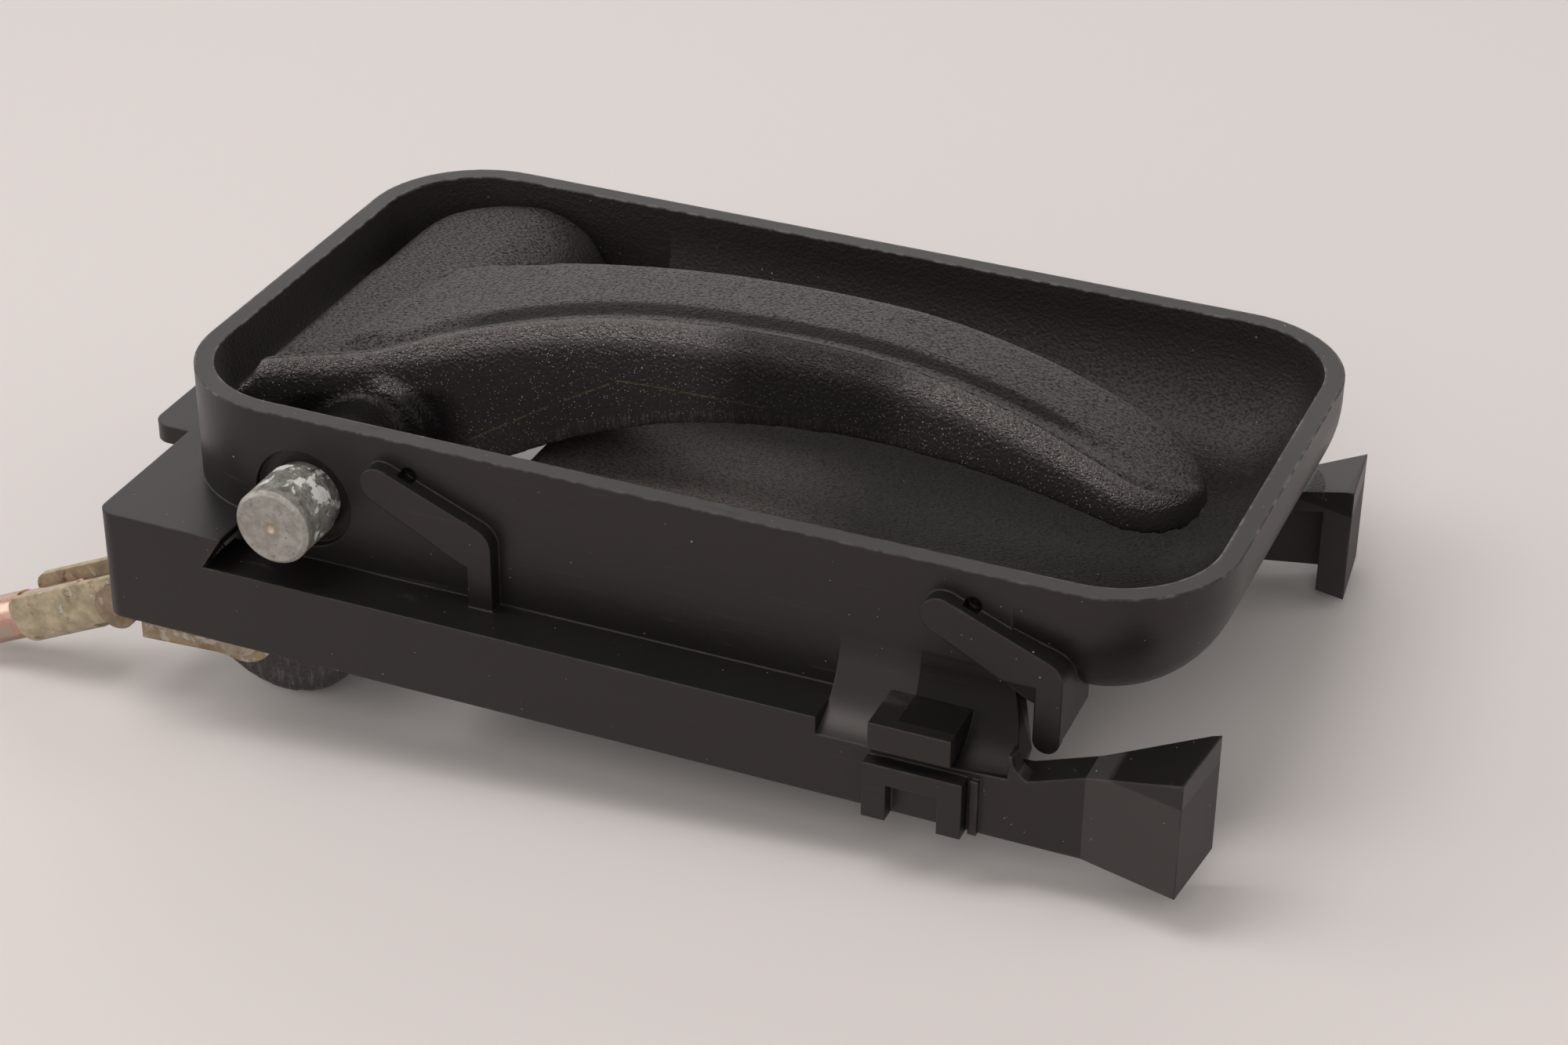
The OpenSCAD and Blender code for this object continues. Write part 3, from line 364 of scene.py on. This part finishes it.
def lever_material():
    n = Nodes("grained_black")
    # Places: the top, the grip's front, the arm's lobe, the bead's crest and its calmer middle with
    # painted shade, the slope behind the bead with painted shade, and the hub's end with painted
    # shade
    top = n.either(n.ramp(n.x, 12.0, 16.0), n.ramp(n.z, 6.0, 7.0))
    top = n.both(n.facing("Z", 0.35, 0.75), top)
    front = n.both(n.ramp(n.y, 33.5, 32.8), n.ramp(n.z, -4.0, -2.0), n.without(top))
    lobe = n.ramp(n.z, -11.0, -14.0)
    near = n.stored("near_edge")
    high = n.ramp(n.z, 4.0, 6.0)
    crest = n.both(near, n.facing("Y", -0.16, -0.30), n.facing("Z", 0.25, 0.45), high)
    crest = n.both(crest, n.either(n.ramp(n.x, 13.0, 17.0), n.ramp(n.z, 6.3, 6.9)))
    # Painted shade: a darker, duller middle of the bead's crest
    painted_shade_mid_crest = n.both(n.within(n.x, 47.0, 61.0, 9.0), n.facing("Y", -0.03, -0.10), high)
    # Painted shade: a dark slope behind the bead
    painted_shade_flank = n.both(n.without(near), n.facing("Y", -0.05, -0.16), top)
    painted_shade_flank = n.both(painted_shade_flank, n.ramp(n.x, 4.0, 12.0), n.ramp(n.x, 96.0, 88.0))
    # Painted shade: a very dark hub end
    painted_shade_hub_end = n.both(n.ramp(n.reach(n.x, n.z), 12.5, 8.5), n.ramp(n.y, 35.0, 31.0))
    painted_shade_hub_end = n.both(painted_shade_hub_end, n.ramp(n.z, 7.2, 5.8), n.without(crest))

    scuff = n.both(lobe, n.patches(0.5, 0.7, 1.5, 3.0, stretch=(1, 1, 0.2)))
    shine = n.both(front, n.either(n.dust(2.4, 0.075, 1.0, 14.0), n.dust(1.3, 0.10, 0.3, 3.0)))
    under = n.both(front, n.within(n.x, 20.0, 66.0, 3.0), n.ramp(above_lower_edge(n), 2.6, 1.4))
    ticks = n.both(under, n.patches(0.50, 0.60, 1.0, 2.0, stretch=(4.6, 0.1, 0.3), shift=2.0))

    base = n.blend(top, (0.026, 0.0225, 0.0222), (0.032, 0.0265, 0.0248))
    base = n.blend(n.both(pores(n, 0.85), top), base, (0.0055, 0.005, 0.005))
    base = n.paint(base, scuff, 0.6, (0.10, 0.095, 0.09))
    base = n.paint(base, shine, 0.8, (0.42, 0.39, 0.36))
    base = n.paint(base, n.both(witness_line(n), front), 0.6, (0.13, 0.095, 0.05))
    base = n.paint(base, ticks, 0.45, (0.10, 0.085, 0.072))
    # Painted shade on the hub's end, the crest's middle and the slope behind the bead
    base = n.blend(painted_shade_hub_end, base, (0.008, 0.007, 0.007))
    base = n.paint(base, painted_shade_mid_crest, 0.7, (0.010, 0.009, 0.009))
    base = n.paint(base, painted_shade_flank, 0.75, (0.009, 0.008, 0.008))

    rough = n.mix(crest, n.mix(top, 0.26, 0.46), 0.20)
    crinkle = n.times(n.both(crest, n.noise(2.2, 1.0, stretch=(1.0, 2.2, 2.2), shift=8.0)), 2.2)
    normal = n.bump(n.plus(pebble(n, 5.0), crinkle), 0.13)
    dull = n.both(top, n.without(crest), pores(n, 0.8))
    dull = n.either(dull, n.times(painted_shade_hub_end, 0.7), n.times(painted_shade_mid_crest, 0.7), n.times(painted_shade_flank, 0.7))
    specular = n.mix(dull, n.mix(crest, 0.5, 1.0), 0.0)
    return n.finish(base, rough, normal, specular=specular, tint=BROWNISH)


def zinc_material(name, shift, tone=(0.42, 0.40, 0.36), crust=0.5, rust=0.2):
    """Dull zinc with white crust and rust; crust and rust say how much of each."""
    n = Nodes(name)
    cloud = n.noise(0.5, 5.0, 0.65, shift=shift)
    white_from, brown_from = 0.62 - 0.1 * crust, 0.66 - 0.12 * rust
    white = n.patches(white_from, white_from + 0.06, 0.42, 6.0, 0.6, shift=shift + 3)
    brown = n.patches(brown_from, brown_from + 0.12, 0.3, 5.0, 0.6, shift=shift + 7)
    base = n.blend(n.ramp(cloud, 0.3, 0.7), tuple(0.6 * c for c in tone), tone)
    base = n.paint(base, brown, 0.8, (0.16, 0.085, 0.04))
    base = n.paint(base, white, crust, (0.66, 0.64, 0.60))
    height = n.plus(n.times(white, 0.8), n.times(n.noise(2.4, 4.0, shift=shift), 0.5))
    normal = n.bump(height, 0.12, n.bevel(0.3))
    return n.finish(base, n.mix(white, 0.52, 0.85), normal, n.mix(white, 0.55, 0.0))


def pin_material():
    n = Nodes("pitted_zinc")
    r = n.reach(n.x, n.z)
    end = n.ramp(n.y, 1.2, 1.0)
    punch = n.both(n.ramp(r, 0.75, 0.35), end)
    ring = n.both(n.within(r, 0.6, 0.95, 0.15), end)
    cloud = n.noise(0.55, 6.0, 0.65, shift=1.0)
    crust = n.patches(0.50, 0.56, 0.5, 6.0, 0.62, stretch=(1, 0.7, 1), shift=21.0)
    crust = n.both(crust, n.ramp(n.y, 1.0, 2.0))
    base = n.blend(n.ramp(cloud, 0.35, 0.65), (0.17, 0.157, 0.14), (0.39, 0.373, 0.34))
    base = n.paint(base, n.ramp(n.y, 1.0, 0.7), 0.5, (0.32, 0.30, 0.268))
    base = n.paint(base, n.patches(0.58, 0.68, 1.1, 5.0, shift=5.0), 0.55, (0.14, 0.11, 0.08))
    base = n.paint(base, crust, 0.85, (0.66, 0.66, 0.62))
    base = n.paint(base, ring, 0.5, (0.30, 0.22, 0.13))
    base = n.paint(base, punch, 0.7, (0.62, 0.55, 0.42))
    height = n.minus(n.plus(n.times(crust, 0.8), n.times(n.noise(1.8, 5.0), 0.6)), punch)
    normal = n.bump(height, 0.22, n.bevel(0.3))
    return n.finish(base, n.mix(crust, 0.5, 0.9), normal, n.mix(crust, 0.5, 0.0))


def rod_material():
    n = Nodes("yellow_zinc")
    cloud = n.noise(0.35, 4.0, 0.6, shift=2.0)
    base = n.blend(n.ramp(cloud, 0.35, 0.5), (0.41, 0.25, 0.09), (0.49, 0.30, 0.24))
    base = n.blend(n.ramp(cloud, 0.55, 0.7), base, (0.34, 0.37, 0.31))
    base = n.paint(base, n.patches(0.6, 0.75, 0.8, 5.0, shift=8.0), 0.6, (0.13, 0.075, 0.04))
    rough = n.mix(n.noise(0.7, 4.0, shift=6.0), 0.10, 0.30)
    return n.finish(base, rough, n.bump(n.noise(1.5, 4.0), 0.05, n.bevel(0.3)), 0.95)


def strap_material():
    n = Nodes("dusty_brass_zinc")
    dust = n.patches(0.48, 0.62, 0.7, 6.0, 0.65, shift=2.0)
    cloud = n.patches(0.4, 0.6, 0.25, 4.0, shift=9.0)
    base = n.blend(cloud, (0.23, 0.155, 0.08), (0.33, 0.255, 0.155))
    base = n.paint(base, dust, 0.7, (0.48, 0.445, 0.395))
    normal = n.bump(dust, 0.08, n.bevel(0.3))
    return n.finish(base, n.mix(dust, 0.4, 0.85), normal, n.mix(dust, 0.7, 0.0))


def steel_material():
    return Nodes("spring_wire").finish((0.30, 0.30, 0.31), 0.35, None, 0.9)


def give(obj, mat):
    obj.data.materials.clear()
    obj.data.materials.append(mat)


give(nodes["housing"], housing_material())
give(nodes["pivot_pin"], pin_material())
give(nodes["pull_rod"], rod_material())
give(nodes["pull_strap"], strap_material())
give(nodes["rod_clevis"], zinc_material("clevis_zinc", 3.0, (0.50, 0.42, 0.285), 0.25, 0.7))
give(nodes["clevis_rivet"], zinc_material("rusty_zinc", 8.0, (0.30, 0.22, 0.15), 0.15, 1.2))
give(nodes["clevis_spacers"], zinc_material("spacer_zinc", 12.0))
give(nodes["strap_rivet"], zinc_material("rivet_zinc", 16.0, (0.40, 0.34, 0.26), 0.4, 0.6))
give(nodes["strap_washer"], zinc_material("washer_zinc", 19.0))
give(nodes["pin_washer"], zinc_material("plain_zinc", 23.0))
give(nodes["pin_clip"], steel_material())


def copy_of(node, name):
    """A free object with the node's mesh, in the row frame."""
    mesh = nodes[node].data.copy()
    mesh.transform(nodes[node].matrix_world)
    obj = bpy.data.objects.new(name, mesh)
    bpy.context.scene.collection.objects.link(obj)
    return obj


def settle(obj):
    """Makes the object's modifiers part of its mesh and gives that mesh back."""
    done = bpy.data.meshes.new_from_object(obj.evaluated_get(bpy.context.evaluated_depsgraph_get()))
    obj.modifiers.clear()
    obj.data = done
    return done


def soften(obj, steps, group=""):
    soft = obj.modifiers.new("soft", "SMOOTH")
    soft.factor, soft.iterations, soft.vertex_group = 0.5, steps, group


def behind_front_edge(x, y, top):
    """How far each point lies behind the front edge of the lever's top, in mm."""
    start, count, span = -20.0, 150, 5  # slots of 1 mm along X, evened out over 5
    slot = np.clip((x - start).astype(int), 0, count - 1)
    front = np.full(count, np.inf)
    np.minimum.at(front, slot[top], y[top])
    seen = np.isfinite(front)
    centre = np.arange(count) + start + 0.5
    level = np.interp(centre, centre[seen], front[seen])
    level = np.convolve(np.pad(level, span // 2, "edge"), np.ones(span) / span, "valid")
    return y - np.interp(x, centre, level)


def bead(co, mesh):
    """Raises a soft bead along the grip's front edge with a shallow valley behind it."""
    up = np.empty(len(mesh.vertices) * 3)
    mesh.vertices.foreach_get("normal", up)
    up = up.reshape(-1, 3)[:, 2]
    x, y, z = (co[:, i] / MM for i in range(3))
    top = (up > 0.25) & (x > -12.5) & ((x > 14.0) | (z > 7.2))
    d = behind_front_edge(x, y, top)
    end = np.clip((93.0 - x) / 12.0, 0, 1)
    rise = 0.6 * np.exp(-(((d - 2.0) / 1.5) ** 2)) - 0.85 * np.exp(-(((d - 5.2) / 2.0) ** 2))
    share = np.clip((up - 0.25) / 0.4, 0, 1) * end * top
    co[:, 2] += rise * share * MM
    near = mesh.attributes.new("near_edge", "FLOAT", "POINT")
    near.data.foreach_set("value", np.clip((4.0 - d) / 1.2, 0, 1).astype(np.float32))


def lever_skin():
    """The lever with a moulding's soft transitions: its solid, evenly re-meshed and smoothed."""
    skin = copy_of("lever", "lever_skin")
    grid = skin.modifiers.new("grid", "REMESH")
    grid.mode, grid.voxel_size, grid.adaptivity = "VOXEL", 0.55 * MM, 0.0
    soften(skin, 14)
    done = settle(skin)
    low, far, left = 1.5 * MM, 50 * MM, 12 * MM
    dome = [v.index for v in done.vertices if v.co.x < left and v.co.y > far and v.co.z > low]
    skin.vertex_groups.new(name="dome").add(dome, 1.0, "REPLACE")
    soften(skin, 60, "dome")
    done = settle(skin)
    co = np.empty(len(done.vertices) * 3)
    done.vertices.foreach_get("co", co)
    co = co.reshape(-1, 3)
    r = np.hypot(co[:, 0], co[:, 2])
    bore = (r < BORE_REACH * MM) & (r > 1e-6)
    for axis in (0, 2):
        co[bore, axis] *= BORE_R * MM / r[bore]
    bead(co, done)
    done.vertices.foreach_set("co", co.ravel())
    done.polygons.foreach_set("use_smooth", [True] * len(done.polygons))
    done.update()
    give(skin, lever_material())
    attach(skin, "lever")
    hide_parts("lever")


def spring_coil():
    """The return spring, wound up between the housing's leg and the lever's leg."""
    coil = copy_of("return_spring", "spring_coil")
    give(coil, steel_material())
    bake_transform(coil)
    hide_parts("return_spring")


lever_skin()
spring_coil()

# The table lies as the part rests on it, on its rear leg and the rod's end: its slopes along
# X and Y, its height in mm under the frame's origin, its half length in mm and its colour
TABLE_X, TABLE_Y = 0.081, 0.056
TABLE_Z = -22.8 - TABLE_X * 111.5 + TABLE_Y * 3 - 0.7
TABLE_REACH = 4000.0
TABLE_TONE = (0.655, 0.608, 0.590, 1)


def table_z(x, y):
    return (TABLE_Z + TABLE_X * x + TABLE_Y * y) * MM


def floor():
    corners = [(x * TABLE_REACH, y * TABLE_REACH) for x, y in ((-1, -1), (1, -1), (1, 1), (-1, 1))]
    mesh = bpy.data.meshes.new("table")
    mesh.from_pydata([(x * MM, y * MM, table_z(x, y)) for x, y in corners], [], [(0, 1, 2, 3)])
    obj = bpy.data.objects.new("table", mesh)
    bpy.context.scene.collection.objects.link(obj)
    mat = bpy.data.materials.new("table")
    mat.use_nodes = True
    s = mat.node_tree.nodes["Principled BSDF"]
    s.inputs["Base Color"].default_value = TABLE_TONE
    s.inputs["Roughness"].default_value = 0.55
    s.inputs["Specular IOR Level"].default_value = 0.25
    mesh.materials.append(mat)


floor()

# Name, place, target and size in mm, and power in W of each soft light
LIGHTS = (
    ("key", (-218, 749, 490), (40, 40, 0), (900, 350), 1.2),
    ("left", (-800, -150, 350), (20, 30, 0), (500, 500), 1.4),
    ("front", (250, -800, 700), (60, 40, 0), (600, 500), 3.0),
    ("right", (750, 100, 620), (60, 40, 0), (600, 600), 1.7),
    ("top", (-270, -120, 840), (40, 30, 15), (380, 700), 3.9),
)
LIGHT_COLOR = (1, 0.985, 0.97)

# How bright the room is at each height of view, 0 level and 1 straight up
ROOM = ((0.0, 0.95), (0.28, 0.90), (0.45, 0.13), (0.86, 0.16), (0.96, 0.45), (1.0, 0.45))


def softbox(name, where, target, size, power):
    data = bpy.data.lights.new(name, "AREA")
    data.shape, data.size, data.size_y = "RECTANGLE", size[0] * MM, size[1] * MM
    data.energy, data.color = power, LIGHT_COLOR
    obj = bpy.data.objects.new(name, data)
    bpy.context.scene.collection.objects.link(obj)
    obj.location = [v * MM for v in where]
    obj.rotation_mode = "QUATERNION"
    obj.rotation_quaternion = (Vector(target) - Vector(where)).to_track_quat("-Z", "Y")


def graded(tree, value, start, end, level):
    """0 where the value is at start, level where it is at end."""
    node = tree.nodes.new("ShaderNodeMapRange")
    for key, v in (("From Min", start), ("From Max", end), ("To Min", 0.0), ("To Max", level)):
        node.inputs[key].default_value = v
    tree.links.new(value, node.inputs["Value"])
    return node.outputs["Result"]


def room_light(tree):
    """A pale room: bright walls, a dark band above them, lighter on the left, a grey ceiling."""
    coord = tree.nodes.new("ShaderNodeTexCoord")
    split = tree.nodes.new("ShaderNodeSeparateXYZ")
    tree.links.new(coord.outputs["Generated"], split.inputs[0])
    tone = tree.nodes.new("ShaderNodeValToRGB")
    stops = tone.color_ramp.elements
    while len(stops) < len(ROOM):
        stops.new(0.5)
    for stop, (height, level) in zip(stops, ROOM):
        stop.position, stop.color = height, (level, level * 0.972, level * 0.958, 1)
    tree.links.new(split.outputs["Z"], tone.inputs["Fac"])
    both = tree.nodes.new("ShaderNodeMath")
    both.operation = "MULTIPLY"
    tree.links.new(graded(tree, split.outputs["X"], -0.20, -0.50, 0.22), both.inputs[0])
    tree.links.new(graded(tree, split.outputs["Z"], 0.70, 0.55, 1.0), both.inputs[1])
    total = tree.nodes.new("ShaderNodeMix")
    total.data_type, total.blend_type = "RGBA", "ADD"
    total.inputs["Factor"].default_value = 1.0
    tree.links.new(tone.outputs["Color"], total.inputs["A"])
    tree.links.new(both.outputs[0], total.inputs["B"])
    tree.links.new(total.outputs["Result"], tree.nodes["Background"].inputs["Color"])


for light in LIGHTS:
    softbox(*light)

world = bpy.data.worlds.new("room")
bpy.context.scene.world = world
world.use_nodes = True
room_light(world.node_tree)

# The camera found from the bowl's rim in the photo: yaw, pitch and roll in degrees, its place
# in mm, its focal length and picture width in pixels, and the width of its sensor in mm
CAMERA_TURN = (-22.531, 30.959, -0.638)
CAMERA_PLACE = (182.855, -285.834, 201.772)
FOCAL_PX, WIDTH_PX = 4287.2, 2000
SENSOR_MM = 36.0


def photo_camera():
    yaw, pitch, roll = (math.radians(v) for v in CAMERA_TURN)
    level = math.cos(pitch)
    ahead = Vector((math.sin(yaw) * level, math.cos(yaw) * level, -math.sin(pitch)))
    right = Vector((math.cos(yaw), -math.sin(yaw), 0.0))
    down = ahead.cross(right)
    x_axis = right * math.cos(roll) + down * math.sin(roll)
    y_axis = right * -math.sin(roll) + down * math.cos(roll)
    turn = Matrix((x_axis, -y_axis, -ahead)).transposed()
    data = bpy.data.cameras.new("photo")
    data.sensor_width, data.lens = SENSOR_MM, SENSOR_MM * FOCAL_PX / WIDTH_PX
    data.clip_start, data.clip_end = 0.01, 20
    obj = bpy.data.objects.new("photo", data)
    bpy.context.scene.collection.objects.link(obj)
    obj.matrix_world = Matrix.Translation(Vector(CAMERA_PLACE) * MM) @ turn.to_4x4()
    bpy.context.scene.camera = obj


photo_camera()
bpy.context.scene.view_settings.view_transform = "Standard"
